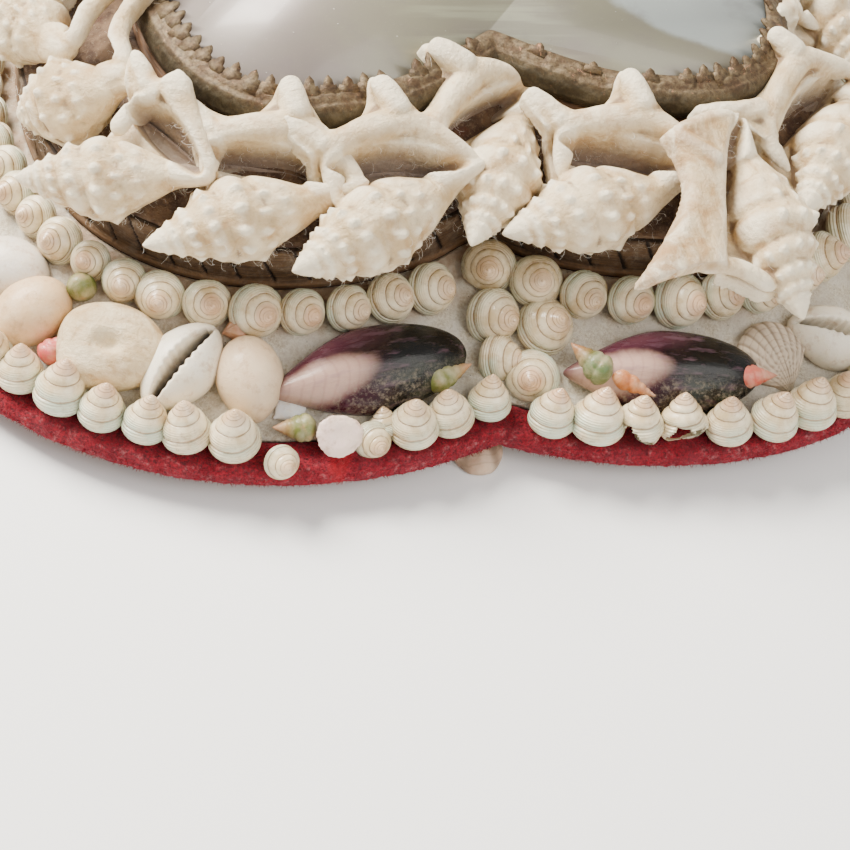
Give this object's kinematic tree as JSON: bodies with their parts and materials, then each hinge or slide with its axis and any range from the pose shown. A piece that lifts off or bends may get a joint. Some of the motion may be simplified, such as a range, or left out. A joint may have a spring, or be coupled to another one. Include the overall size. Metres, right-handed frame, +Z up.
{
  "type": "shell box",
  "caption": "Heart-shaped trinket box covered in sea shells, with a velvet-edged base and a lift-off lid that carries a heart mirror in a pressed metal bezel.",
  "frame": {"origin": "on the table plane, under the middle of the box's overall width and depth", "axes": "+X to the right seen from the notch of the heart, +Y from the notch towards the point, +Z up"},
  "size_m": [0.225, 0.2019, 0.0498],
  "materials": {
    "wood": "rough brown stained softwood",
    "rim_wood": "kerf-cut wood, worn brown varnish with dust",
    "velvet": "crimson velvet pile, worn at the edge",
    "plaster": "sandy plaster with glue and dust",
    "pearl": "satin shell with mother-of-pearl bands",
    "bone_shell": "chalky to satin shell, brown stains",
    "cowrie": "glossy shell",
    "mussel": "smooth dark shell, pink-white at one end",
    "scallop": "matte ribbed shell",
    "bronze": "thin pressed metal, tarnished brown with verdigris",
    "mirror_glass": "old silvered glass, cloudy and scratched"
  },
  "bodies": {
    "root": {"base_board": "wood", "velvet_edge": "velvet", "foot_notch": "scallop", "foot_left": "scallop", "foot_right": "scallop", "foot_point": "scallop", "box_wall": "wood", "shell_bed": "plaster", "lid_rim": "rim_wood", "lid_board": "wood", "lid_bed": "plaster", "mirror_block": "wood", "mirror_glass": "mirror_glass", "bezel": "bronze", "inner_row_right": "pearl", "inner_row_left": "pearl", "notch_tops": "pearl", "outer_row_right": "pearl", "outer_row_left": "pearl", "cowrie_white": "cowrie", "cowrie_tan_left": "cowrie", "cowrie_tan_front": "cowrie", "moon_snail": "bone_shell", "slit_cowrie_left": "bone_shell", "slit_cowrie_right": "bone_shell", "mussel_front_left": "mussel", "mussel_front_right": "mussel", "scallop_right": "scallop", "mussel_back_1": "mussel", "mussel_back_2": "mussel", "mussel_back_3": "mussel", "mussel_back_4": "mussel", "mussel_back_5": "mussel", "mussel_back_6": "mussel", "cowrie_back_1": "cowrie", "scallop_back_2": "scallop", "moon_snail_back_3": "bone_shell", "cowrie_back_4": "cowrie", "scallop_back_5": "scallop", "pelican_shell_1": "bone_shell", "pelican_shell_2": "bone_shell", "pelican_shell_3": "bone_shell", "pelican_shell_4": "bone_shell", "pelican_shell_5": "bone_shell", "pelican_shell_6": "bone_shell", "pelican_shell_7": "bone_shell", "pelican_shell_8": "bone_shell", "pelican_shell_9": "bone_shell", "pelican_shell_10": "bone_shell", "pelican_shell_11": "bone_shell", "pelican_shell_12": "bone_shell", "pelican_shell_13": "bone_shell", "pelican_shell_14": "bone_shell", "pelican_shell_15": "bone_shell", "pelican_shell_16": "bone_shell", "pelican_shell_17": "bone_shell", "pelican_shell_18": "bone_shell"}
  },
  "joints": []
}
